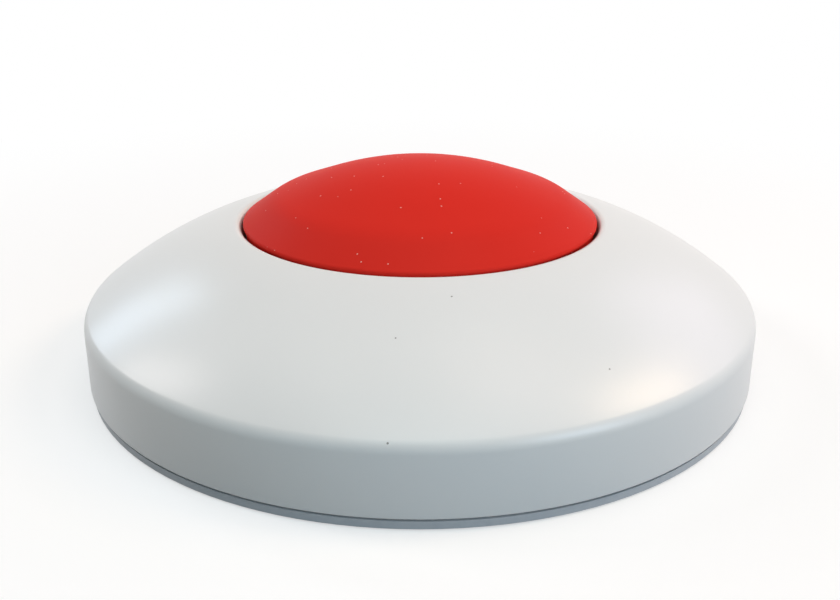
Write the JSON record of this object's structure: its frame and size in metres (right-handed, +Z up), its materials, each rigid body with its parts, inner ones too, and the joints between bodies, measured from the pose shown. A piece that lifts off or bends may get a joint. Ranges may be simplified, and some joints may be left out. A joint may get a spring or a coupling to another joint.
{
  "type": "panic button",
  "caption": "Round white call device with a large red domed palm button that sinks against a spring and works a switch; stands on rubber feet or screws to a wall.",
  "frame": {"origin": "on the table, under the middle of the button: the bottom centre of the part's box", "axes": "+Z up along the button's travel axis, +X to the right and +Y to the back as the picture shows it"},
  "size_m": [0.1002, 0.1002, 0.0302],
  "materials": {
    "white_plastic": "satin moulded ABS",
    "red_plastic": "satin moulded ABS",
    "black_rubber": "matt moulded rubber",
    "spring_steel": "bright drawn wire",
    "board_laminate": "green solder mask on glass laminate",
    "plated_steel": "bright zinc or nickel plate",
    "black_plastic": "glass-filled moulding",
    "plunger_plastic": "natural acetal",
    "tinned_metal": "bright tin plate",
    "cell_steel": "nickel-plated pressed steel",
    "copper_wire": "enamelled copper wire",
    "chip_resin": "black moulding resin",
    "can_aluminium": "drawn can",
    "chip_ceramic": "fired ceramic"
  },
  "bodies": {
    "housing": {"base_plate": "white_plastic", "top_cover": "white_plastic", "rubber_feet": "black_rubber", "return_spring": "spring_steel", "circuit_board": "board_laminate", "board_screws": "plated_steel", "switch_body": "black_plastic", "switch_pins": "tinned_metal", "battery_holder": "black_plastic", "coin_cell": "cell_steel", "positive_contact": "tinned_metal", "negative_contact": "tinned_metal", "radio_board": "board_laminate", "radio_can": "tinned_metal", "antenna_coil": "copper_wire", "microcontroller": "chip_resin", "chip_leads": "tinned_metal", "crystal": "plated_steel", "reservoir_capacitor": "can_aluminium", "chip_capacitors": "chip_ceramic", "chip_resistors": "chip_resin"},
    "button": {"button_cap": "red_plastic"},
    "plunger": {"switch_plunger": "plunger_plastic"}
  },
  "joints": [
    {"name": "button_press", "type": "slide", "parent": "housing", "child": "button", "axis": [0, 0, -1], "range_m": [0, 0.0025], "stiffness_N_per_m": 800, "springref_m": -0.002, "deforming": ["return_spring"]},
    {"name": "switch_plunge", "type": "slide", "parent": "housing", "child": "plunger", "axis": [0, 0, -1], "range_m": [0, 0.0025]}
  ],
  "couplings": [
    {"joint": "switch_plunge", "follows": "button_press", "ratio": 1}
  ]
}
